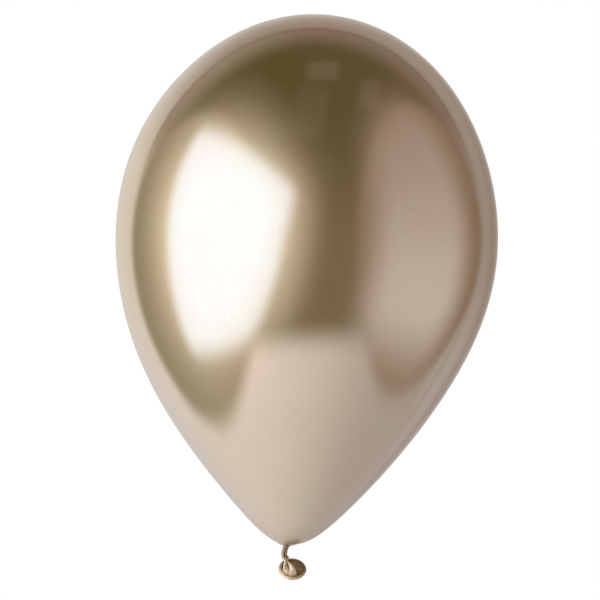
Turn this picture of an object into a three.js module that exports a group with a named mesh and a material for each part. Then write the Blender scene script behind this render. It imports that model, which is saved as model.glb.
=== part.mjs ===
// An inflated latex party balloon, 300 mm across, tied off with an overhand knot in its own neck.
// Millimetres, +Z up along the balloon's axis. The origin is the centre of the throat, where the
// inflated envelope ends and the gathered neck begins. The neck, knot and mouth hang below it.
import * as THREE from "three";

// The envelope. Its outline is BELLY_RADIUS * sqrt(1 - c) * (1 + c)^TIP_POWER * f(c), where c is
// the cosine of the polar angle (1 at the crown, -1 at the tip) and f is a cubic in c.
const BELLY_RADIUS = 150;
const ENVELOPE_LENGTH = 417.7;
const TIP_POWER = 0.4057;
const OUTLINE_CUBIC = [0.9811, 0.3246, -0.2397, 0.0839];
const WALL = 0.25;
const THROAT_RADIUS = 2.9;

// The neck and the knot, from the throat down. The neck bows to one side: its centreline is a parabola.
const GAP = 0.3; // clearance between touching pieces
const BOW_DEPTH = 0.95;
const BOW_HEIGHT = -5.8;
const BOW_CURVATURE = 0.0217;
const GATHER_END = -0.7;
const GATHER_HEIGHT = 3.2; // how far the gathered plug reaches up inside the envelope
const GATHER_FLUTES = 9;
const GATHER_FLUTE_DEPTH = 0.05; // share of the radius
const STEM_END = -3.1;
const STEM_TOP_RADIUS = 2.1;
const STEM_END_RADIUS = 1.2;
const STEM_FOLDS = 5;
const STEM_FOLD_DEPTH = 0.08; // share of the radius
const CORE_RADIUS = 0.9;
const CORE_END = -12.3;
const WRAP_RADIUS = 0.8;
const WRAP_TOP = -5.2;
const WRAP_END = -10.3;
const WRAP_TURNS = 1.35;
const WRAP_START_ANGLE = -0.35 * Math.PI;

// The mouth: a pleated skirt that ends in a rolled bead. Its axis leans back from the balloon's own.
const MOUTH_CENTRE = [5.75, 5.0, -19.35];
const MOUTH_TILT = THREE.MathUtils.degToRad(39);
const LIP_RADIUS = 9.8; // to the middle of the rolled bead
const BEAD_RADIUS = 1.2;
const SKIRT_HEIGHT = 8.0;
const SKIRT_TOP_RADIUS = 1.15;
const SKIRT_TOP_OFFSET = [-5.75, 0.95]; // the skirt's top sits this far off the mouth's own axis
const SKIRT_FLARE = 2.2; // above 1 the skirt spreads like a trumpet
const SKIRT_LEAN_POWER = 1.4; // above 1 most of the lean is near the skirt's top
const SKIRT_WALL = 0.7;
const PLEATS = 6;
const PLEAT_DEPTH = 0.24; // share of the radius, at the skirt's top

// Fineness of the faceted surfaces.
const ENVELOPE_SIDES = 48;
const ENVELOPE_ROWS = 26;
const GATHER_SIDES = 36;
const CORE_SIDES = 14;
const WRAP_SIDES = 12;
const WRAP_STEPS = 36;
const MOUTH_SIDES = 36;
const SKIRT_ROWS = 9;
const HOLLOW_ROWS = 5; // the mouth's hollow reaches up inside this many of them
const BEAD_SIDES = 12;

const inflatedLatex = new THREE.MeshStandardMaterial({ color: 0xc9b59b, metalness: 0.9, roughness: 0.28 });
const slackLatex = new THREE.MeshStandardMaterial({ color: 0xa07c50, metalness: 0.75, roughness: 0.4 });

// A latex piece with its own copy of the material.
function piece(name, geometry, latex) {
  const mesh = new THREE.Mesh(geometry, latex.clone());
  mesh.name = name;
  return mesh;
}

// A profile of (radius, height) points turned about the Z axis.
function turned(profile, sides) {
  return new THREE.LatheGeometry(profile, sides).rotateX(Math.PI / 2);
}

// Moves each vertex in or out round the Z axis by a wave with that many lobes and a depth by height.
function flute(geometry, lobes, depthAt) {
  const at = geometry.getAttribute("position");
  for (let i = 0; i < at.count; i++) {
    const angle = Math.atan2(at.getY(i), at.getX(i));
    const scale = 1 + depthAt(at.getZ(i)) * Math.cos(lobes * angle);
    at.setXY(i, at.getX(i) * scale, at.getY(i) * scale);
  }
  return geometry;
}

// The sideways place of the neck's centreline at a height.
function neckBow(z) {
  return BOW_CURVATURE * (z - BOW_HEIGHT) ** 2 - BOW_DEPTH;
}

// Shifts an upright geometry sideways so that it follows the neck's centreline.
function bowed(geometry) {
  const at = geometry.getAttribute("position");
  for (let i = 0; i < at.count; i++) {
    at.setX(i, at.getX(i) + neckBow(at.getZ(i)));
  }
  return geometry;
}

function cubic(c) {
  return OUTLINE_CUBIC.reduce((sum, factor, power) => sum + factor * c ** power, 0);
}

// The cosine of the polar angle at which the outline has narrowed to the throat.
const THROAT_COSINE = (THROAT_RADIUS / (BELLY_RADIUS * Math.SQRT2 * cubic(-1))) ** (1 / TIP_POWER) - 1;
const THROAT_ANGLE = Math.acos(THROAT_COSINE);

// A point of the outer outline, with the throat at height 0.
function outlinePoint(angle) {
  const c = Math.cos(angle);
  const radius = BELLY_RADIUS * Math.sqrt(1 - c) * (1 + c) ** TIP_POWER * cubic(c);
  return new THREE.Vector2(radius, (ENVELOPE_LENGTH * (c - THROAT_COSINE)) / 2);
}

// The point of the inner face opposite it, one wall's thickness in.
function innerPoint(angle) {
  const step = 1e-4;
  const alongOutline = outlinePoint(angle - step).sub(outlinePoint(angle + step)).normalize();
  const inwards = new THREE.Vector2(-alongOutline.y, alongOutline.x);
  return outlinePoint(angle).addScaledVector(inwards, WALL);
}

// The inflated envelope: one thin wall, closed at the crown and open at the throat.
function makeEnvelope() {
  const angles = Array.from({ length: ENVELOPE_ROWS }, (_, i) => (THROAT_ANGLE * (i + 1)) / ENVELOPE_ROWS);
  const crown = ENVELOPE_LENGTH * (1 - THROAT_COSINE) * 0.5;
  const outer = [new THREE.Vector2(0, crown), ...angles.map(outlinePoint)];
  const inner = [new THREE.Vector2(0, crown - WALL), ...angles.map(innerPoint)];
  return piece("envelope", turned([...inner, ...outer.reverse()], ENVELOPE_SIDES), inflatedLatex);
}

// The gathered plug of latex that closes the throat, fluted where the wall puckers.
function makeNeckGather() {
  const radius = THROAT_RADIUS - WALL - GAP;
  const profile = [
    [0, GATHER_END],
    [radius * 0.8, GATHER_END],
    [radius * 0.94, GATHER_END * 0.45],
    [radius * 0.94, GATHER_HEIGHT * 0.16],
    [radius * 0.7, GATHER_HEIGHT * 0.56],
    [radius * 0.3, GATHER_HEIGHT * 0.94],
    [0, GATHER_HEIGHT],
  ].map(([r, z]) => new THREE.Vector2(r, z));
  const geometry = flute(turned(profile, GATHER_SIDES), GATHER_FLUTES, () => GATHER_FLUTE_DEPTH);
  return piece("neck_gather", geometry, slackLatex);
}

// The short stem between the throat and the knot: the neck drawn out thin and folded lengthwise.
function makeNeckStem() {
  const top = GATHER_END - GAP;
  const length = top - STEM_END;
  const profile = [
    [0, STEM_END],
    [STEM_END_RADIUS * 0.8, STEM_END],
    [STEM_END_RADIUS, STEM_END + length * 0.15],
    [STEM_TOP_RADIUS * 0.8, STEM_END + length * 0.5],
    [STEM_TOP_RADIUS, top - length * 0.15],
    [STEM_TOP_RADIUS * 0.85, top],
    [0, top],
  ].map(([r, z]) => new THREE.Vector2(r, z));
  const geometry = flute(turned(profile, GATHER_SIDES), STEM_FOLDS, () => STEM_FOLD_DEPTH);
  return piece("neck_stem", bowed(geometry), slackLatex);
}

// The neck's run straight through the knot and on towards the mouth, with rounded ends.
function makeKnotCore() {
  const length = STEM_END - GAP - CORE_END;
  const upright = new THREE.CapsuleGeometry(CORE_RADIUS, length - 2 * CORE_RADIUS, 4, CORE_SIDES, 8);
  upright.rotateX(Math.PI / 2).translate(0, 0, CORE_END + length / 2);
  return piece("knot_core", bowed(upright), slackLatex);
}

// The loop of the overhand knot, wound round the core and drawn tight.
function makeKnotWrap() {
  const reach = CORE_RADIUS + WRAP_RADIUS + GAP;
  const points = Array.from({ length: WRAP_STEPS / 2 + 1 }, (_, i) => {
    const share = (2 * i) / WRAP_STEPS;
    const angle = WRAP_START_ANGLE - 2 * Math.PI * WRAP_TURNS * share;
    const z = WRAP_TOP + (WRAP_END - WRAP_TOP) * share;
    return new THREE.Vector3(neckBow(z) + reach * Math.cos(angle), reach * Math.sin(angle), z);
  });
  const geometry = new THREE.ExtrudeGeometry(new THREE.Shape().absarc(0, 0, WRAP_RADIUS, 0, 2 * Math.PI), {
    steps: WRAP_STEPS,
    curveSegments: WRAP_SIDES / 2,
    bevelEnabled: false,
    extrudePath: new THREE.CatmullRomCurve3(points),
  });
  return piece("knot_wrap", geometry, slackLatex);
}

// The pleated skirt: a funnel that spreads from the knot to the rolled bead, open at the mouth.
function makeMouthSkirt() {
  const rimRadius = LIP_RADIUS - BEAD_RADIUS - GAP;
  const outer = Array.from({ length: SKIRT_ROWS + 1 }, (_, i) => {
    const share = i / SKIRT_ROWS;
    const spread = (1 - share) ** SKIRT_FLARE;
    const radius = SKIRT_TOP_RADIUS + (rimRadius - SKIRT_TOP_RADIUS) * spread;
    return new THREE.Vector2(radius, SKIRT_HEIGHT * share);
  });
  const inner = outer.slice(0, HOLLOW_ROWS).map((p) => new THREE.Vector2(p.x - SKIRT_WALL, p.y - SKIRT_WALL));
  const hollowTop = new THREE.Vector2(0, inner[inner.length - 1].y + SKIRT_WALL);
  const profile = [hollowTop, ...inner.reverse(), ...outer, new THREE.Vector2(0, SKIRT_HEIGHT)];
  const geometry = turned(profile, MOUTH_SIDES);
  const shareAt = (z) => Math.max(z / SKIRT_HEIGHT, 0);
  flute(geometry, PLEATS, (z) => PLEAT_DEPTH * shareAt(z));
  const at = geometry.getAttribute("position");
  const [leanX, leanY] = SKIRT_TOP_OFFSET;
  for (let i = 0; i < at.count; i++) {
    const lean = shareAt(at.getZ(i)) ** SKIRT_LEAN_POWER;
    at.setXY(i, at.getX(i) + leanX * lean, at.getY(i) + leanY * lean);
  }
  return piece("mouth_skirt", geometry, slackLatex);
}

// The rolled bead round the balloon's mouth.
function makeRolledLip() {
  const geometry = new THREE.TorusGeometry(LIP_RADIUS, BEAD_RADIUS, BEAD_SIDES, MOUTH_SIDES);
  return piece("rolled_lip", geometry, slackLatex);
}

// The mouth's own frame: its +Z points back at the neck.
const mouth = new THREE.Group();
mouth.position.set(...MOUTH_CENTRE);
mouth.rotation.x = MOUTH_TILT;
mouth.add(makeMouthSkirt(), makeRolledLip());

const balloon = new THREE.Group();
balloon.add(makeEnvelope(), makeNeckGather(), makeNeckStem(), makeKnotCore(), makeKnotWrap(), mouth);

export default balloon;
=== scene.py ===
"""An inflated metallic latex balloon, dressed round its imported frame.

Metres, with +Z up the balloon's axis and the throat at height 0.
"""

import math

import bmesh
import bpy
from mathutils import Matrix, Vector


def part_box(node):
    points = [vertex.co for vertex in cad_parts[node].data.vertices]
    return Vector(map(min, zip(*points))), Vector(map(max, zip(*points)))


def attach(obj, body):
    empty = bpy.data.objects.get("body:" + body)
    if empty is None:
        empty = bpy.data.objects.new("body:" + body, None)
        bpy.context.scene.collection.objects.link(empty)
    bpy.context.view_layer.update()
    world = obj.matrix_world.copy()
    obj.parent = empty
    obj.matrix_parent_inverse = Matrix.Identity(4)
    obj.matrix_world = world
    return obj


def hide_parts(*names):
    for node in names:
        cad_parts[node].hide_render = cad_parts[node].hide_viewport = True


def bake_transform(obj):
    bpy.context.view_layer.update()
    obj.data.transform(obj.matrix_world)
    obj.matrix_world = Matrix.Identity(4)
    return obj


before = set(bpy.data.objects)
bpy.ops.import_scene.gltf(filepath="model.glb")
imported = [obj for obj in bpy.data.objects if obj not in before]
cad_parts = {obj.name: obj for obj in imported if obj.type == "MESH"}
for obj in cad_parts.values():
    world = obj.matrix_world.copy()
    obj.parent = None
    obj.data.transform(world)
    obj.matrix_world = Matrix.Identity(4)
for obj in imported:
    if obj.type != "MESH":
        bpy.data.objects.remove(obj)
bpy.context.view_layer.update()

# ---- driving dimensions ------------------------------------------------------------------------

MM = 0.001
ENVELOPE_LOW, ENVELOPE_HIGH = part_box("envelope")
BELLY_RADIUS = (ENVELOPE_HIGH.x - ENVELOPE_LOW.x) / 2
ENVELOPE_HEIGHT = ENVELOPE_HIGH.z
LIP_LOW, LIP_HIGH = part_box("rolled_lip")
MOUTH_CENTRE = (LIP_LOW + LIP_HIGH) / 2

# The envelope's outline: BELLY_RADIUS * sqrt(1 - c) * (1 + c)^TIP_POWER * cubic(c), where c is the
# cosine of the polar angle: 1 at the crown and -1 at the tip.
TIP_POWER = 0.4057
OUTLINE_CUBIC = (0.9811, 0.3246, -0.2397, 0.0839)
THROAT_RADIUS = 2.9 * MM

# The blown skin isn't quite straight: its axis wanders sideways by a sum of cosines of the height.
WANDER = (-0.12 * MM, 0.76 * MM, 0.22 * MM, 0.82 * MM)
WANDER_START = 3 * MM

# Just above the throat the neck draws the skin in and pulls it to one side.
TIP_DRAW = 0.3  # share of the radius, at the throat's height
TIP_PULL = 0.8 * MM
TIP_REACH = 3.0 * MM

# Puckers, as (how many round the neck, share of the depth, phase). They fade out up the envelope.
PUCKERS = ((8, 0.45, 0.4), (5, 0.35, 1.9), (13, 0.2, 0.7))
PUCKER_DEPTH = 0.25 * MM
PUCKER_REACH = 5.0 * MM

ENVELOPE_SIDES = 240
ENVELOPE_ROWS = 200
ROW_CROWDING = 1.25  # how far the rows crowd together towards the throat, where the puckers are

# Below the throat the neck bows to one side: its centreline is a parabola.
BOW_DEPTH = 0.95 * MM
BOW_HEIGHT = -5.8 * MM
BOW_CURVATURE = 0.0217 / MM

# The neck's skin, from the throat down. Spans are shares of its length.
NECK_END = -5.4 * MM
NECK_END_RADIUS = 1.9 * MM
NECK_ROWS = 24
NECK_PINCH = 0.35  # share of its narrowing that comes straight below the throat
NECK_PINCH_SPAN = (0, 0.17)
NECK_BOW_SPAN = (0, 0.2)
NECK_SIDESTEP = -0.4 * MM
NECK_SIDESTEP_SPAN = (0, 0.5)
NECK_FOLD_DEPTH = 0.16  # share of its radius
NECK_FOLD_START = 0.4  # share of that depth at the throat
NECK_SWIRL = 0.5  # radians that its folds turn by on the way down
NECK_CLOSING = 2.6 * MM  # the height over which its end narrows on to the strand
NECK_CLOSED = 0.4  # share of its radius at the very end

# The strand runs on from the neck through the knot to the mouth's skirt. Spans are heights.
STRAND_TOP = -2.4 * MM
STRAND_END = -12.2 * MM
STRAND_RADIUS = 1.2 * MM
STRAND_ROWS = 40
STRAND_SIDES = 40
STRAND_SIDESTEP = 0.35 * MM
STRAND_SIDESTEP_SPAN = (-2 * MM, -5 * MM)
STRAND_RETURN_SPAN = (-12 * MM, -9 * MM)
STRAND_SETBACK = 0.1 * MM
STRAND_TAPER = 0.4
STRAND_TAPER_SPAN = (-10.6 * MM, -11.8 * MM)
STRAND_FOLDS = ((3, 0.1, 0.3), (5, 0.05, 1.4))
STRAND_TWIST = 140.0  # radians per metre
# Painted shade: the strand is coloured dark, as if in shadow, with painted highlights on its
# ridges.
STRAND_SHADE = 0.95
STRAND_RIDGE_HIGHLIGHT = 2.0  # painted highlight: how much paler the strand is for each share that a fold stands out

# The knot's loop, as (x, y, z, radius) in millimetres from the neck's centreline: down the left
# side, round behind, out to the right and back across the front.
KNOT_ROUTE = (
    (-0.3, -0.2, -2.2, 0.7),
    (-1.3, -0.6, -3.3, 1.0),
    (-2.0, -0.9, -5.0, 1.2),
    (-2.2, -1.0, -7.2, 1.25),
    (-1.9, -0.8, -9.3, 1.2),
    (-1.2, 0.4, -10.6, 1.05),
    (-0.1, 1.6, -10.4, 0.95),
    (1.2, 1.1, -9.8, 1.0),
    (1.6, -0.3, -9.5, 1.1),
    (0.9, -1.3, -9.6, 1.0),
    (0.0, -1.4, -10.4, 0.9),
    (-0.6, -0.6, -11.2, 0.6),
)
KNOT_STEPS = 8  # rows from one of these points to the next
KNOT_SIDES = 28
KNOT_FOLDS = ((3, 0.08, 0.5), (5, 0.05, 2.2))
KNOT_TWIST = 120.0
KNOT_PALE_SPAN = (-1.4 * MM, 0.0)  # from a painted highlight on its left, the side the key light falls on, to painted shade at the neck
KNOT_NECK_SHADE = 0.9

# The mouth: a pleated skirt that ends in a rolled bead, which faces back at the neck.
MOUTH_TILT = math.radians(39)
MOUTH_TURN = Matrix.Rotation(MOUTH_TILT, 3, "X")
BEAD_RADIUS = 1.2 * MM
LIP_RADIUS = (LIP_HIGH.x - LIP_LOW.x) / 2 - BEAD_RADIUS

# The skirt's centreline is a cubic Bezier curve, from the strand's end to a little below the middle
# of the bead. Spans are shares of the way along it, from the knot or, for falls, from the bead.
SKIRT_TOP = -10.9 * MM
SKIRT_SINK = 0.45 * MM
SKIRT_TOP_HANDLE = Vector((0, 0, -4.2 * MM))
SKIRT_RIM_HANDLE = Vector((-2.0 * MM, 0, 3.6 * MM))
SKIRT_TOP_RADIUS = 1.3 * MM
SKIRT_FLARE = 1.9
SKIRT_TURN_SPAN = (0, 0.9)
SKIRT_WALL = 0.15 * MM
SKIRT_ROWS = 60
SKIRT_SIDES = 180
SKIRT_DISH = 1.4 * MM  # how deep the skirt sags between its pleats and the bead
SKIRT_DISH_RISE, SKIRT_DISH_FALL = (0.3, 0.8), (0, 0.12)

# The skirt's pleats. Each lies over to one side: it rises from its start to its crest and drops off
# to its end, in degrees round the mouth. The last numbers are its shares of the pleats' height by
# the knot and by the bead. The pleats swirl on their way from the one to the other.
PLEATS = (
    (-100, -48, -22, 1.0, 1.0),
    (-122, -109, -96, 0.5, 0.1),
    (-200, -136, -116, 0.85, 0.75),
    (-150, -108, -56, 0.0, 0.75),
    (92, 120, 148, 0.3, 0.3),
    (48, 70, 92, 0.35, 0.35),
    (2, 28, 48, 0.2, 0.3),
)
PLEAT_CHANGE_SPAN = (0.35, 0.8)
PLEAT_SWIRL = math.radians(60)
PLEAT_SWIRL_MIDDLE = 0.65  # how far along the pleats are at the angles above
PLEAT_MEAN = 0.3
PLEAT_HEIGHT = 3.1 * MM
PLEAT_RISE, PLEAT_FALL = (0.1, 0.75), (0, 0.2)
PLEAT_LEAN = 0.15  # how far out a pleat leans, as a share of its height
PLEAT_BULGE = 0.85  # how much further out the skirt reaches along a pleat, as a share of its radius
BULGE_RISE, BULGE_FALL = (0, 0.3), (0.1, 0.6)

# Painted shade on the skirt: darker colour in its valleys, beside a pleat's steep side, by the knot
# and under the bead.
VALLEY_SPAN = (0.35, -0.05)  # of the pleats' height over their mean
VALLEY_START_SPAN = (0, 0.1)
VALLEY_SHADE = 0.62
FOOT_WIDTH = math.radians(18)
FOOT_SPAN = (0.5, 1.1)  # of the drop beside a pleat
KNOT_SHADE_SPAN = (0.35, 0.65)
BEAD_SHADE_SPAN = (0.84, 0.92)

# The bead's unevenness, as waves round the mouth, and the lines of its rolled layers.
BEAD_ROWS = 144
BEAD_SIDES = 36
BEAD_MEAN = 0.96
BEAD_WAVES = ((1, 0.26, math.radians(-200)), (7, 0.03, 0))
BEAD_WOBBLE = ((2, 0.18 * MM, 0.6),)
ROLL_LINES = 5
ROLL_DEPTH = 0.035
ROLL_PHASE = 1.0
ROLL_DRIFT = ((3, 0.3, -math.pi / 2),)
# Painted shade on the bead: a middling shade all round, darker on its right, away from the key
# light, and in the crease on its inner side.
BEAD_PAINTED_SHADE = 0.5
BEAD_SIDE_SHADE_WAVES = ((1, 0.45, math.radians(-40)),)
BEAD_INNER_SHADE = 0.5
BEAD_INNER_SPAN = (0.3, 0.9)

# ---- the photographer's camera -----------------------------------------------------------------

BALLOON_LEAN = math.radians(3.7)  # the balloon's axis leans to the right in the picture
CAMERA_DISTANCE = 1.3145
CAMERA_LENS = 100.0
CAMERA_SENSOR = 36.0
CAMERA_AIM = Vector((-2.26 * MM, 0.0, 193.5 * MM))


def make_camera():
    up = Vector((-math.sin(BALLOON_LEAN), 0, math.cos(BALLOON_LEAN)))
    back = Vector((0, -1, 0))
    data = bpy.data.cameras.new("camera")
    data.lens = CAMERA_LENS
    data.sensor_width = CAMERA_SENSOR
    camera = bpy.data.objects.new("camera", data)
    turn = Matrix((up.cross(back), up, back)).transposed().to_4x4()
    camera.matrix_world = Matrix.Translation(CAMERA_AIM + back * CAMERA_DISTANCE) @ turn
    bpy.context.scene.collection.objects.link(camera)
    bpy.context.scene.camera = camera


# ---- node helpers ------------------------------------------------------------------------------


class Nodes:
    """A node tree with short calls: each returns the socket that carries the result."""

    def __init__(self, tree):
        self.tree = tree
        tree.nodes.clear()

    def add(self, kind, **settings):
        node = self.tree.nodes.new(kind)
        for name, value in settings.items():
            setattr(node, name, value)
        return node

    def feed(self, socket, value):
        if isinstance(value, bpy.types.NodeSocket):
            self.tree.links.new(value, socket)
        else:
            socket.default_value = value

    def math(self, operation, a, b=0.0):
        node = self.add("ShaderNodeMath", operation=operation)
        self.feed(node.inputs[0], a)
        self.feed(node.inputs[1], b)
        return node.outputs[0]

    def dot(self, a, b):
        node = self.add("ShaderNodeVectorMath", operation="DOT_PRODUCT")
        self.feed(node.inputs[0], a)
        self.feed(node.inputs[1], b)
        return node.outputs["Value"]

    def smooth(self, value, low, high, start=0.0, end=1.0):
        """start at low, end at high, an S-curve between. low may be the greater of the two."""
        node = self.add("ShaderNodeMapRange", interpolation_type="SMOOTHSTEP")
        self.feed(node.inputs["Value"], value)
        self.feed(node.inputs["From Min"], low)
        self.feed(node.inputs["From Max"], high)
        self.feed(node.inputs["To Min"], start)
        self.feed(node.inputs["To Max"], end)
        return node.outputs["Result"]

    def mix(self, share, a, b, blend="MIX"):
        node = self.add("ShaderNodeMix", data_type="RGBA", blend_type=blend)
        self.feed(node.inputs["Factor"], share)
        self.feed(node.inputs[6], rgba(a))
        self.feed(node.inputs[7], rgba(b))
        return node.outputs[2]

    def noise(self, where, size, detail=2.0):
        """Soft noise from 0 to 1 whose features are about that many metres across."""
        node = self.add("ShaderNodeTexNoise")
        self.feed(node.inputs["Vector"], where)
        self.feed(node.inputs["Scale"], 1 / size)
        self.feed(node.inputs["Detail"], detail)
        return node.outputs["Fac"]

    def bump(self, height, depth):
        node = self.add("ShaderNodeBump")
        self.feed(node.inputs["Height"], height)
        self.feed(node.inputs["Distance"], depth)
        return node.outputs["Normal"]


def rgba(value):
    if isinstance(value, bpy.types.NodeSocket):
        return value
    return (*value, 1.0)


# ---- mesh helpers ------------------------------------------------------------------------------


def finished(name, shape, material):
    """A smooth-shaded object from a bmesh."""
    bmesh.ops.recalc_face_normals(shape, faces=shape.faces)
    for face in shape.faces:
        face.smooth = True
    mesh = bpy.data.meshes.new(name)
    shape.to_mesh(mesh)
    shape.free()
    mesh.materials.append(material)
    made = bpy.data.objects.new(name, mesh)
    bpy.context.scene.collection.objects.link(made)
    return made


def lofted(name, loops, material, first=None, last=None, endless=False):
    """A skin through loops of points, closed by a point at either end or joined end to start."""
    shape = bmesh.new()
    rows = [[shape.verts.new(point) for point in loop] for loop in loops]
    pairs = list(zip(rows, rows[1:]))
    if endless:
        pairs.append((rows[-1], rows[0]))
    sides = len(rows[0])
    for upper, lower in pairs:
        for side in range(sides):
            after = (side + 1) % sides
            shape.faces.new((upper[side], lower[side], lower[after], upper[after]))
    for tip, row in ((first, rows[0]), (last, rows[-1])):
        if tip is not None:
            end = shape.verts.new(tip)
            for side in range(sides):
                shape.faces.new((end, row[side], row[(side + 1) % sides]))
    return finished(name, shape, material)


PALE = -0.2  # the stored value of a painted highlight, on the knot's lit side


def shade(piece, values):
    """Stores each vertex's painted shade: from -0.2, a painted highlight, through 0 on an open
    surface, to 1, full painted shade in a crease.

    The points that close a loft's ends come last in the mesh, and get 1.
    """
    depth = piece.data.attributes.new("painted_shade", "FLOAT", "POINT")
    tips = len(piece.data.vertices) - len(values)
    depth.data.foreach_set("value", [*values, *[1.0] * tips])


def around(sides):
    return [2 * math.pi * side / sides for side in range(sides)]


def ripple(waves, angle):
    """A sum of waves round a circle, each (how many, height, phase)."""
    return sum(height * math.cos(count * angle + phase) for count, height, phase in waves)


def eased(value, low, high):
    """0 at low, 1 at high, and an S-curve between. low may be the greater of the two."""
    t = min(max((value - low) / (high - low), 0), 1)
    return t * t * (3 - 2 * t)


def swell(t, rise, fall):
    """Rises over one span from the start of 0 to 1 and falls over another, counted from its end."""
    return eased(t, *rise) * eased(1 - t, *fall)


def neck_bow(z):
    """The sideways place of the neck's centreline at a height."""
    return BOW_CURVATURE * (z - BOW_HEIGHT) ** 2 - BOW_DEPTH


# ---- the studio: what the metallic skin reflects -----------------------------------------------

# Directions seen from the balloon are (azimuth, elevation) in degrees: azimuth 0 is towards the
# camera, 90 to its right. Spans are of a direction's share upwards, rightwards or backwards.
CEILING = (0.128, 0.099, 0.038)
DARK_ROOM = (0.216, 0.173, 0.096)
CEILING_SPAN = (-0.2, 0.95)
RIGHT_HAZE = (0.012, 0.007, 0.018)
RIGHT_HAZE_SPAN = (-0.6, 0.8)

# The pale sweep behind the balloon, and the dim wall past its edge, overhead.
SWEEP_LEFT = (0.79, 0.74, 0.67)
SWEEP_RIGHT = (0.38, 0.33, 0.30)
SWEEP_SPAN = (-0.8, 0.8)
SWEEP_HIGH = (0.36, 0.29, 0.26)
SWEEP_HIGH_SPAN = (0.2, 0.87)
SWEEP_FOOT_SPAN = (0, -0.45)
SWEEP_BACK_SPAN = (0.15, 0.55)
SWEEP_SHADE = (0.78, 0.70, 0.66)
SHADE_RIGHT_SPAN = (0.1, 0.5)
SHADE_BACK_SPAN = (0.68, 0.88)
OVERHEAD_SPAN = (0.1, 0.55)
WALL_LEFT = (0.37, 0.31, 0.25)
WALL_RIGHT = (0.27, 0.21, 0.177)
WALL_SPAN = (-0.6, 0.1)
SEAM = (0.80, 0.76, 0.72)
SEAM_RIGHT_SPAN = (0.3, 0.6)

# The floor's edge comes up a little at the back.
FLOOR_LEFT = (0.89, 0.86, 0.88)
FLOOR_RIGHT = (0.48, 0.44, 0.44)
FLOOR_SIDE = (115, 0)
FLOOR_SIDE_SPAN = (-0.75, 0.75)
FLOOR_DOWN = (180, -86)
FLOOR_DOWN_SPAN = (0.52, 0.715)

# Round patches, as (azimuth, elevation, half angle, softness of the edge).
SWEEP_CONE_LOW = (180, 0, 54.5, 5)
SWEEP_CONE_OVERHEAD = (180, 0, 54.5, 1.5)
SEAM_CONE = (180, 0, 57, 1.5)
LEFT_SURROUND_CONE = (-76, -3, 50.5, 4)
RIGHT_SURROUND_CONE = (77, -1, 48.5, 3)
LEFT_SURROUND = (0.34, 0.30, 0.21)
RIGHT_SURROUND = (0.28, 0.20, 0.15)

# The two softboxes, as the directions of their corners, and how soft their edges are.
KEY_CORNERS = ((-7, 20), (-88, 40), (-90, -32), (-38, -38), (-19, -21))
KEY_FACE = (1.28, 1.46, 1.82)
KEY_EDGE = (1.13, 1.17, 1.28)
KEY_HALO = (1.15, 1.06, 0.96)
KEY_SOFTNESS, KEY_FACE_SOFTNESS, KEY_HALO_SOFTNESS = 5, 20, 37
SPILL_CORNERS = ((2, 24), (-60, 34), (-60, -36), (-20, -42), (0, -26))
SPILL = (0.25, 0.235, 0.22)
SPILL_SOFTNESS = 13
FILL_CORNERS = ((96, 49), (42, 42), (39, -39), (111, -30))
FILL_TOP = (0.42, 0.335, 0.306)
FILL_FOOT = (0.65, 0.617, 0.607)
FILL_SPAN = (-0.5, 0.8)
FILL_SOFTNESS = 15

# Faint windows overhead, as corners and a strength.
WINDOWS = (
    (((99, 78), (-59, 88), (-4, 77), (50, 73)), 0.05),
    (((92, 60), (75, 66), (46, 56), (64, 52)), 0.04),
    (((30, 70), (-18, 72), (-9, 45), (12, 44)), 0.025),
)
WINDOW_SOFTNESS = 1.5

# What the camera sees past the balloon.
GROUND_BEHIND = (1.0, 1.0, 1.0)
GROUND_ROUND = (0.70, 0.70, 0.70)
GROUND_SPAN = (0.5, 0.9)


def direction(azimuth, elevation):
    a, e = math.radians(azimuth), math.radians(elevation)
    return Vector((math.sin(a) * math.cos(e), -math.cos(a) * math.cos(e), math.sin(e)))


def in_cone(n, ray, cone):
    """1 for rays inside a round patch, 0 outside it."""
    azimuth, elevation, half_angle, softness = cone
    outer = math.cos(math.radians(half_angle + softness))
    inner = math.cos(math.radians(half_angle - softness))
    return n.smooth(n.dot(ray, direction(azimuth, elevation)), outer, inner)


def in_panel(n, ray, corners, softness):
    """1 for rays that meet a flat panel, given the directions of its corners."""
    edge = math.sin(math.radians(softness))
    mask = 1.0
    for here, there in zip(corners, corners[1:] + corners[:1]):
        side = direction(*here).cross(direction(*there)).normalized()
        mask = n.math("MULTIPLY", n.smooth(n.dot(ray, side), -edge, edge), mask)
    return mask


def ground(n, backwards):
    """The plain ground past the balloon: white at the back of the set, pale grey elsewhere."""
    return n.mix(n.smooth(backwards, *GROUND_SPAN), GROUND_ROUND, GROUND_BEHIND)


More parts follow.
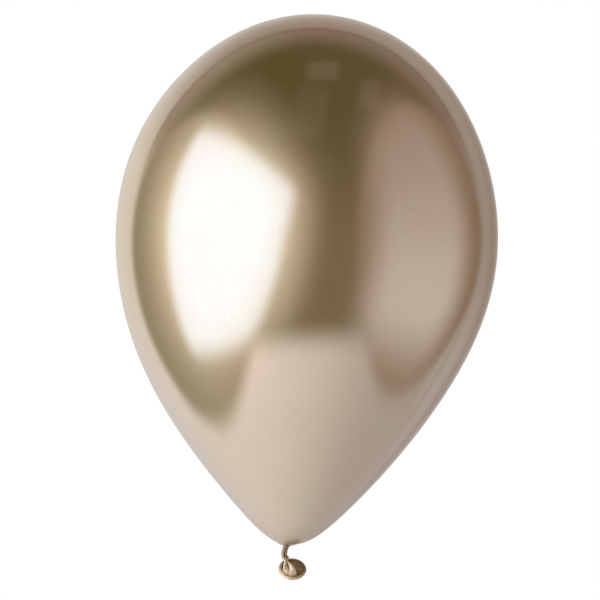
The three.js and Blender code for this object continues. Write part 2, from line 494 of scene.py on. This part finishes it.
def make_studio():
    world = bpy.data.worlds.new("studio")
    world.use_nodes = True
    bpy.context.scene.world = world
    n = Nodes(world.node_tree)
    turned = n.add("ShaderNodeVectorRotate", rotation_type="Y_AXIS")
    n.feed(turned.inputs["Vector"], n.add("ShaderNodeTexCoord").outputs["Generated"])
    n.feed(turned.inputs["Angle"], BALLOON_LEAN)
    ray = turned.outputs[0]
    height = n.dot(ray, (0, 0, 1))
    rightwards = n.dot(ray, (1, 0, 0))
    backwards = n.dot(ray, (0, 1, 0))

    light = n.mix(n.smooth(height, *CEILING_SPAN), DARK_ROOM, CEILING)
    light = n.mix(n.smooth(rightwards, *RIGHT_HAZE_SPAN), light, RIGHT_HAZE, "ADD")

    # the pale sweep, brighter on the key light's side and towards the floor, with a dark seam and
    # the dim wall where it ends overhead
    floor_side = n.smooth(n.dot(ray, direction(*FLOOR_SIDE)), *FLOOR_SIDE_SPAN)
    floor = n.mix(floor_side, FLOOR_LEFT, FLOOR_RIGHT)
    sweep = n.mix(n.smooth(rightwards, *SWEEP_SPAN), SWEEP_LEFT, SWEEP_RIGHT)
    sweep = n.mix(n.smooth(height, *SWEEP_HIGH_SPAN), sweep, SWEEP_HIGH)
    sweep = n.mix(n.smooth(height, *SWEEP_FOOT_SPAN), sweep, floor)
    overhead = n.smooth(height, *OVERHEAD_SPAN)
    wall = n.mix(n.smooth(rightwards, *WALL_SPAN), WALL_LEFT, WALL_RIGHT)
    behind = n.mix(overhead, sweep, wall)
    light = n.mix(n.smooth(backwards, *SWEEP_BACK_SPAN), light, behind)
    seam_reach = n.math("MAXIMUM", overhead, n.smooth(rightwards, *SEAM_RIGHT_SPAN))
    seam = n.math("MULTIPLY", in_cone(n, ray, SEAM_CONE), seam_reach)
    light = n.mix(seam, light, SEAM, "MULTIPLY")
    low = n.mix(in_cone(n, ray, SWEEP_CONE_LOW), light, sweep)
    high = n.mix(in_cone(n, ray, SWEEP_CONE_OVERHEAD), light, sweep)
    light = n.mix(overhead, low, high)
    shaded_side = n.smooth(rightwards, *SHADE_RIGHT_SPAN)
    shaded = n.math("MULTIPLY", shaded_side, n.smooth(backwards, *SHADE_BACK_SPAN))
    light = n.mix(shaded, light, SWEEP_SHADE, "MULTIPLY")
    on_floor = n.smooth(n.dot(ray, direction(*FLOOR_DOWN)), *FLOOR_DOWN_SPAN)
    light = n.mix(on_floor, light, floor)

    # the dark surrounds of the two softboxes, then their lit faces
    light = n.mix(in_cone(n, ray, LEFT_SURROUND_CONE), light, LEFT_SURROUND)
    light = n.mix(in_cone(n, ray, RIGHT_SURROUND_CONE), light, RIGHT_SURROUND)
    light = n.mix(in_panel(n, ray, KEY_CORNERS, KEY_HALO_SOFTNESS), light, KEY_HALO, "ADD")
    light = n.mix(in_panel(n, ray, SPILL_CORNERS, SPILL_SOFTNESS), light, SPILL, "ADD")
    face = n.mix(in_panel(n, ray, KEY_CORNERS, KEY_FACE_SOFTNESS), KEY_EDGE, KEY_FACE)
    light = n.mix(in_panel(n, ray, KEY_CORNERS, KEY_SOFTNESS), light, face)
    fill = n.mix(n.smooth(height, *FILL_SPAN), FILL_FOOT, FILL_TOP)
    light = n.mix(in_panel(n, ray, FILL_CORNERS, FILL_SOFTNESS), light, fill)
    for corners, strength in WINDOWS:
        light = n.mix(in_panel(n, ray, corners, WINDOW_SOFTNESS), light, [strength] * 3, "ADD")

    by_camera = n.add("ShaderNodeLightPath").outputs["Is Camera Ray"]
    background = n.add("ShaderNodeBackground")
    n.feed(background.inputs["Color"], n.mix(by_camera, light, ground(n, backwards)))
    n.feed(n.add("ShaderNodeOutputWorld").inputs["Surface"], background.outputs[0])


LAMP_FROM = (-48, 12)
LAMP_STRENGTH = 2.6
LAMP_SIZE = math.radians(35)


def make_lamp():
    """The key light's soft light on what isn't mirror-like: the slack latex of the tail."""
    data = bpy.data.lights.new("key_lamp", "SUN")
    data.energy = LAMP_STRENGTH
    data.angle = LAMP_SIZE
    lamp = bpy.data.objects.new("key_lamp", data)
    lamp.rotation_euler = direction(*LAMP_FROM).to_track_quat("Z", "Y").to_euler()
    lamp.visible_glossy = False
    bpy.context.scene.collection.objects.link(lamp)


FLOOR_HEIGHT = -0.42
FLOOR_RADIUS = 1.7
FLOOR_SIDES = 96
FLOOR_PAINT = (0.9, 0.9, 0.89)
FLOOR_ROUGHNESS = 0.9
FLOOR_GLOW = 0.35
FLOOR_RIM_SPAN = (0.2 * FLOOR_RADIUS, 0.97 * FLOOR_RADIUS)


def make_floor():
    """A pale floor below the balloon, out of the main picture. Its rim runs on into the ground."""
    shape = bmesh.new()
    bmesh.ops.create_circle(shape, cap_ends=True, segments=FLOOR_SIDES, radius=FLOOR_RADIUS)
    material = bpy.data.materials.new("pale_floor")
    material.use_nodes = True
    n = Nodes(material.node_tree)
    paint = n.add("ShaderNodeBsdfPrincipled")
    n.feed(paint.inputs["Base Color"], rgba(FLOOR_PAINT))
    n.feed(paint.inputs["Roughness"], FLOOR_ROUGHNESS)
    n.feed(paint.inputs["Emission Color"], rgba(GROUND_BEHIND))
    n.feed(paint.inputs["Emission Strength"], FLOOR_GLOW)
    where = n.add("ShaderNodeTexCoord").outputs["Object"]
    rim = n.add("ShaderNodeEmission")
    n.feed(rim.inputs["Color"], ground(n, n.dot(where, (0, 1 / FLOOR_RADIUS, 0))))
    outwards = n.math("SQRT", n.dot(where, where))
    blend = n.add("ShaderNodeMixShader")
    n.feed(blend.inputs[0], n.smooth(outwards, *FLOOR_RIM_SPAN))
    n.feed(blend.inputs[1], paint.outputs[0])
    n.feed(blend.inputs[2], rim.outputs[0])
    n.feed(n.add("ShaderNodeOutputMaterial").inputs["Surface"], blend.outputs[0])
    floor = finished("floor", shape, material)
    floor.location.z = FLOOR_HEIGHT
    floor.visible_glossy = False


# ---- materials ---------------------------------------------------------------------------------

COAT_ROUGHNESS = 0.04
COAT_IOR = 1.45

BLOWN_TINT = (0.80, 0.68, 0.54)
BLOWN_TINT_BROWN = (0.785, 0.65, 0.50)
BLOWN_TINT_GREEN = (0.77, 0.685, 0.51)
BLOWN_ROUGHNESS = 0.13
CLOUD_SIZE = 45 * MM
CLOUD_SPAN = (0.35, 0.65)
FLECK_SIZE = 3 * MM
FLECK_SPAN = (0.3, 0.7)
FLECK_SHARE = 0.6
PEEL_SIZE = 1.2 * MM
PEEL_DEPTH = 0.004 * MM
NECK_TINT = (0.35, 0.23, 0.14)
NECK_TINT_SPAN = (3 * MM, -1 * MM)
NECK_ROUGHNESS = 0.5
NECK_ROUGHNESS_SPAN = (30 * MM, 6 * MM)

SLACK_TINT = (0.76, 0.62, 0.45)
SLACK_TINT_DEEP = (0.57, 0.42, 0.25)
SLACK_ROUGHNESS = 0.38
SLACK_METAL = 0.5
# The colours of painted shade in creases and of a painted highlight, mixed in per vertex.
SHADE_TINT = (0.21, 0.12, 0.04)
PALE_TINT = (0.46, 0.385, 0.31)
BLOTCH_SIZE = 2.5 * MM
BLOTCH_SPAN = (0.3, 0.7)
WRINKLE_SIZE = 1.5 * MM
WRINKLE_DEPTH = 0.05 * MM


def latex_surface(n, tint, roughness, normal, metallic):
    """Latex filled with metal flake under its own glossy skin."""
    surface = n.add("ShaderNodeBsdfPrincipled")
    n.feed(surface.inputs["Base Color"], tint)
    n.feed(surface.inputs["Metallic"], metallic)
    n.feed(surface.inputs["Roughness"], roughness)
    n.feed(surface.inputs["Normal"], normal)
    n.feed(surface.inputs["Coat Weight"], 1.0)
    n.feed(surface.inputs["Coat Roughness"], COAT_ROUGHNESS)
    n.feed(surface.inputs["Coat IOR"], COAT_IOR)
    n.feed(n.add("ShaderNodeOutputMaterial").inputs["Surface"], surface.outputs[0])


def inflated_latex():
    """Stretched latex: pale and mirror-like, a little cloudy, deeper where it is stretched less."""
    material = bpy.data.materials.new("inflated_latex")
    material.use_nodes = True
    n = Nodes(material.node_tree)
    where = n.add("ShaderNodeTexCoord").outputs["Object"]
    cloud = n.smooth(n.noise(where, CLOUD_SIZE), *CLOUD_SPAN)
    fleck = n.smooth(n.noise(where, FLECK_SIZE), *FLECK_SPAN)
    tint = n.mix(cloud, BLOWN_TINT_BROWN, BLOWN_TINT_GREEN)
    tint = n.mix(n.math("MULTIPLY", fleck, FLECK_SHARE), tint, BLOWN_TINT)
    height = n.dot(where, (0, 0, 1))
    tint = n.mix(n.smooth(height, *NECK_TINT_SPAN), tint, NECK_TINT)
    roughness = n.smooth(height, *NECK_ROUGHNESS_SPAN, BLOWN_ROUGHNESS, NECK_ROUGHNESS)
    peel = n.bump(n.noise(where, PEEL_SIZE, 1.0), PEEL_DEPTH)
    latex_surface(n, tint, roughness, peel, 1.0)
    return material


def slack_latex():
    """Unstretched latex: thicker, deeper in colour and finely wrinkled, with painted shade in its
    creases and painted highlights, read from each vertex's stored value.
    """
    material = bpy.data.materials.new("slack_latex")
    material.use_nodes = True
    n = Nodes(material.node_tree)
    where = n.add("ShaderNodeTexCoord").outputs["Object"]
    blotch = n.smooth(n.noise(where, BLOTCH_SIZE), *BLOTCH_SPAN)
    tint = n.mix(blotch, SLACK_TINT_DEEP, SLACK_TINT)
    painted_shade = n.add("ShaderNodeAttribute", attribute_name="painted_shade").outputs["Fac"]
    # painted shade towards a stored value of 1, and a painted highlight below 0
    tint = n.mix(n.math("MAXIMUM", painted_shade, 0.0), tint, SHADE_TINT)
    tint = n.mix(n.smooth(painted_shade, 0, PALE), tint, PALE_TINT)
    wrinkle = n.bump(n.noise(where, WRINKLE_SIZE, 3.0), WRINKLE_DEPTH)
    latex_surface(n, tint, SLACK_ROUGHNESS, wrinkle, SLACK_METAL)
    return material


# ---- the envelope and the neck -----------------------------------------------------------------


def cubic(c):
    return sum(factor * c**power for power, factor in enumerate(OUTLINE_CUBIC))


def outline(angle):
    """(radius, height) at a polar angle, with the throat at height 0."""
    c = math.cos(angle)
    reach = THROAT_RADIUS / (BELLY_RADIUS * math.sqrt(2) * cubic(-1))
    throat = reach ** (1 / TIP_POWER) - 1
    radius = BELLY_RADIUS * math.sqrt(1 - c) * (1 + c) ** TIP_POWER * cubic(c)
    return radius, ENVELOPE_HEIGHT * (c - throat) / (1 - throat)


def wander(height):
    """The sideways place of the blown skin's axis at a height."""
    turn = math.pi * height / ENVELOPE_HEIGHT
    bend = sum(reach * math.cos((i + 1) * turn) for i, reach in enumerate(WANDER))
    return bend * eased(height, 0, WANDER_START)


def blown_loops():
    """The blown skin's loops, from the crown to the throat."""
    loops = []
    for row in range(1, ENVELOPE_ROWS):
        share = row / ENVELOPE_ROWS
        radius, height = outline(math.pi * (1 - (1 - share) ** ROW_CROWDING))
        if height < 0:
            break
        depth = PUCKER_DEPTH * math.exp((THROAT_RADIUS - radius) / PUCKER_REACH)
        if height > ENVELOPE_HEIGHT / 2:
            depth = 0
        drawn = math.exp(-height / TIP_REACH) * eased(height, 0, TIP_REACH / 2)
        radius *= 1 - TIP_DRAW * drawn
        shift = wander(height) - TIP_PULL * drawn
        loop = []
        for a in around(ENVELOPE_SIDES):
            z = height - depth * ripple(PUCKERS, a)
            loop.append((shift + radius * math.cos(a), radius * math.sin(a), z))
        loops.append(loop)
    return loops


def neck_loops():
    """The gathered neck's loops, from the throat down on to the strand."""
    loops = []
    for row in range(1, NECK_ROWS + 1):
        share = row / NECK_ROWS
        z = NECK_END * share
        pinch = NECK_PINCH * eased(share, *NECK_PINCH_SPAN) + (1 - NECK_PINCH) * share
        radius = THROAT_RADIUS + (NECK_END_RADIUS - THROAT_RADIUS) * pinch
        open_share = eased(z - NECK_END, 0, NECK_CLOSING)
        radius *= NECK_CLOSED + (1 - NECK_CLOSED) * open_share
        depth = NECK_FOLD_DEPTH * (NECK_FOLD_START + (1 - NECK_FOLD_START) * share)
        sidestep = NECK_SIDESTEP * eased(share, *NECK_SIDESTEP_SPAN) * open_share
        shift = neck_bow(z) * eased(share, *NECK_BOW_SPAN) + sidestep
        loop = []
        for a in around(ENVELOPE_SIDES):
            r = radius * (1 + depth * ripple(PUCKERS, a + NECK_SWIRL * share))
            loop.append((shift + r * math.cos(a), r * math.sin(a), z))
        loops.append(loop)
    return loops


def make_envelope(material):
    """The blown skin from the crown to the throat, and the gathered neck below it, in one piece."""
    first = (wander(ENVELOPE_HEIGHT), 0, ENVELOPE_HEIGHT)
    last = (neck_bow(NECK_END), 0, NECK_END)
    return lofted("envelope_skin", blown_loops() + neck_loops(), material, first, last)


def make_strand(material):
    """The drawn-out neck, from above the knot, through it and on to the mouth, painted dark as if
    in shade, with painted highlights on its ridges.
    """
    loops, painted_shade = [], []
    for row in range(STRAND_ROWS + 1):
        z = STRAND_TOP + (STRAND_END - STRAND_TOP) * row / STRAND_ROWS
        sidestep = eased(z, *STRAND_SIDESTEP_SPAN) * eased(z, *STRAND_RETURN_SPAN)
        shift = neck_bow(z) + STRAND_SIDESTEP * sidestep
        taper = 1 - STRAND_TAPER * eased(z, *STRAND_TAPER_SPAN)
        loop = []
        for a in around(STRAND_SIDES):
            fold = ripple(STRAND_FOLDS, a + STRAND_TWIST * z)
            r = STRAND_RADIUS * (1 + fold) * taper
            loop.append((shift + r * math.cos(a), STRAND_SETBACK + r * math.sin(a), z))
            # painted shade, lighter where a fold stands out as a painted highlight
            painted_shade.append(min(STRAND_SHADE - STRAND_RIDGE_HIGHLIGHT * fold, 1))
        loops.append(loop)
    tips = [sum((Vector(p) for p in loop), Vector()) / len(loop) for loop in (loops[0], loops[-1])]
    strand = lofted("neck_strand", loops, material, *tips)
    shade(strand, painted_shade)
    return strand


# ---- the knot ----------------------------------------------------------------------------------


def through(points, steps):
    """Catmull-Rom samples through a list of tuples, with that many steps between neighbours."""
    vectors = [Vector(p) for p in points]
    ends = [2 * vectors[0] - vectors[1], *vectors, 2 * vectors[-1] - vectors[-2]]
    samples = []
    for a, b, c, d in zip(ends, ends[1:], ends[2:], ends[3:]):
        for step in range(steps):
            t = step / steps
            curve = 2 * a - 5 * b + 4 * c - d + t * (3 * (b - c) + d - a)
            samples.append(b + 0.5 * t * (c - a + t * curve))
    return samples + [vectors[-1]]


def make_knot(material):
    """The loop of the overhand knot, drawn tight round the strand, with a painted highlight on its
    left side and painted shade towards the neck.
    """
    samples = through(KNOT_ROUTE, KNOT_STEPS)
    centres = [Vector((s[0] * MM + neck_bow(s[2] * MM), s[1] * MM, s[2] * MM)) for s in samples]
    loops, painted_shade = [], []
    side = Vector((1, 0, 0))
    travelled = 0
    for i, centre in enumerate(centres):
        before = centres[max(i - 1, 0)]
        ahead = (centres[min(i + 1, len(centres) - 1)] - before).normalized()
        side = (side - ahead * side.dot(ahead)).normalized()
        other = ahead.cross(side)
        travelled += (centre - before).length
        loop = []
        for a in around(KNOT_SIDES):
            r = samples[i][3] * MM * (1 + ripple(KNOT_FOLDS, a + KNOT_TWIST * travelled))
            point = centre + side * (r * math.cos(a)) + other * (r * math.sin(a))
            loop.append(point)
            # painted highlight on the lit left side, painted shade towards the neck and the right
            shade_share = eased(point.x - neck_bow(point.z), *KNOT_PALE_SPAN)
            painted_shade.append(PALE + (KNOT_NECK_SHADE - PALE) * shade_share)
        loops.append(loop)
    knot = lofted("knot_loop", loops, material, centres[0], centres[-1])
    shade(knot, painted_shade)
    return knot


# ---- the mouth ---------------------------------------------------------------------------------


def pleat(angle, along):
    """The height share of the skirt's pleats, at an angle and from the knot (0) to the bead (1)."""
    total = 0
    for start, crest, end, by_knot, by_bead in PLEATS:
        height = by_knot + (by_bead - by_knot) * eased(along, *PLEAT_CHANGE_SPAN)
        past = (math.degrees(angle) - start) % 360
        if past < crest - start:
            total += height * eased(past, 0, crest - start)
        elif past < end - start:
            total += height * eased(end - start - past, 0, end - crest)
    return total


def make_skirt(material):
    """The pleated skirt: a sleeve round the strand's end that turns and flares out to the bead,
    with painted shade in its valleys, beside its pleats, by the knot and under the bead.
    """
    top = Vector((neck_bow(SKIRT_TOP), 0, SKIRT_TOP))
    rim = MOUTH_CENTRE - MOUTH_TURN @ Vector((0, 0, SKIRT_SINK))
    below_top = top + SKIRT_TOP_HANDLE
    above_rim = rim + MOUTH_TURN @ SKIRT_RIM_HANDLE
    rim_radius = LIP_RADIUS - BEAD_RADIUS / 2
    loops, painted_shade = [], []
    for row in range(SKIRT_ROWS + 1):
        t = row / SKIRT_ROWS
        u = 1 - t
        centre = top * u**3 + below_top * (3 * u * u * t) + above_rim * (3 * u * t * t) + rim * t**3
        turn = Matrix.Rotation(MOUTH_TILT * eased(t, *SKIRT_TURN_SPAN), 3, "X")
        radius = SKIRT_TOP_RADIUS + (rim_radius - SKIRT_TOP_RADIUS) * t**SKIRT_FLARE
        lift = PLEAT_HEIGHT * swell(t, PLEAT_RISE, PLEAT_FALL)
        dish = SKIRT_DISH * swell(t, SKIRT_DISH_RISE, SKIRT_DISH_FALL)
        bulge = PLEAT_BULGE * swell(t, BULGE_RISE, BULGE_FALL)
        swirl = PLEAT_SWIRL * (PLEAT_SWIRL_MIDDLE - t)
        # how much painted shade falls deep by the knot and under the bead
        by_knot = eased(u, *KNOT_SHADE_SPAN)
        by_bead = eased(t, *BEAD_SHADE_SPAN)
        loop = []
        for column in around(SKIRT_SIDES):
            a = column + swirl
            fold = pleat(column, t) - PLEAT_MEAN
            r = radius * (1 + bulge * fold) + PLEAT_LEAN * lift * fold
            z = lift * fold - dish
            loop.append(centre + turn @ Vector((r * math.cos(a), r * math.sin(a), z)))
            # painted shade in the valleys, darkest beside a pleat's steep side and by the knot
            valley = eased(fold, *VALLEY_SPAN) * eased(t, *VALLEY_START_SPAN)
            foot = eased(pleat(column - FOOT_WIDTH, t) - fold, *FOOT_SPAN)
            shade_strength = VALLEY_SHADE + (1 - VALLEY_SHADE) * max(foot, by_knot)
            painted_shade.append(max(valley * shade_strength, by_bead))
        loops.append(loop)
    skirt = lofted("mouth_skirt_folds", loops, material)
    shade(skirt, painted_shade)
    wall = skirt.modifiers.new("wall", "SOLIDIFY")
    wall.thickness = SKIRT_WALL
    wall.offset = -1
    return skirt


def make_lip(material):
    """The rolled bead round the mouth, a little uneven, with the lines of its rolled layers, and
    painted shade on its right and in the crease on its inner side.
    """
    loops, painted_shade = [], []
    for a in around(BEAD_ROWS):
        bead = BEAD_RADIUS * (BEAD_MEAN + ripple(BEAD_WAVES, a))
        wobble = ripple(BEAD_WOBBLE, a)
        roll = ROLL_PHASE + ripple(ROLL_DRIFT, a)
        loop = []
        for b in around(BEAD_SIDES):
            r = bead * (1 + ROLL_DEPTH * math.cos(ROLL_LINES * b + roll))
            out = LIP_RADIUS + r * math.cos(b)
            point = Vector((out * math.cos(a), out * math.sin(a), wobble + r * math.sin(b)))
            loop.append(MOUTH_CENTRE + MOUTH_TURN @ point)
            # painted shade, deeper on one side of the mouth and on the bead's inner side
            inner = BEAD_INNER_SHADE * eased(-math.cos(b), *BEAD_INNER_SPAN)
            painted_shade.append(min(BEAD_PAINTED_SHADE + ripple(BEAD_SIDE_SHADE_WAVES, a) + inner, 1))
        loops.append(loop)
    lip = lofted("rolled_lip_bead", loops, material, endless=True)
    shade(lip, painted_shade)
    return lip


# ---- the whole balloon -------------------------------------------------------------------------

make_camera()
make_studio()
make_lamp()
make_floor()

blown = inflated_latex()
slack = slack_latex()

envelope = make_envelope(blown)
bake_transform(envelope)
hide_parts("envelope", "neck_gather")

strand = make_strand(slack)
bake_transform(strand)
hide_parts("neck_stem", "knot_core")

knot = make_knot(slack)
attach(knot, "knot")
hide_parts("knot_wrap")

skirt = make_skirt(slack)
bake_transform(skirt)
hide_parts("mouth_skirt")

lip = make_lip(slack)
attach(lip, "mouth")
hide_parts("rolled_lip")

bpy.context.scene.view_settings.view_transform = "Standard"
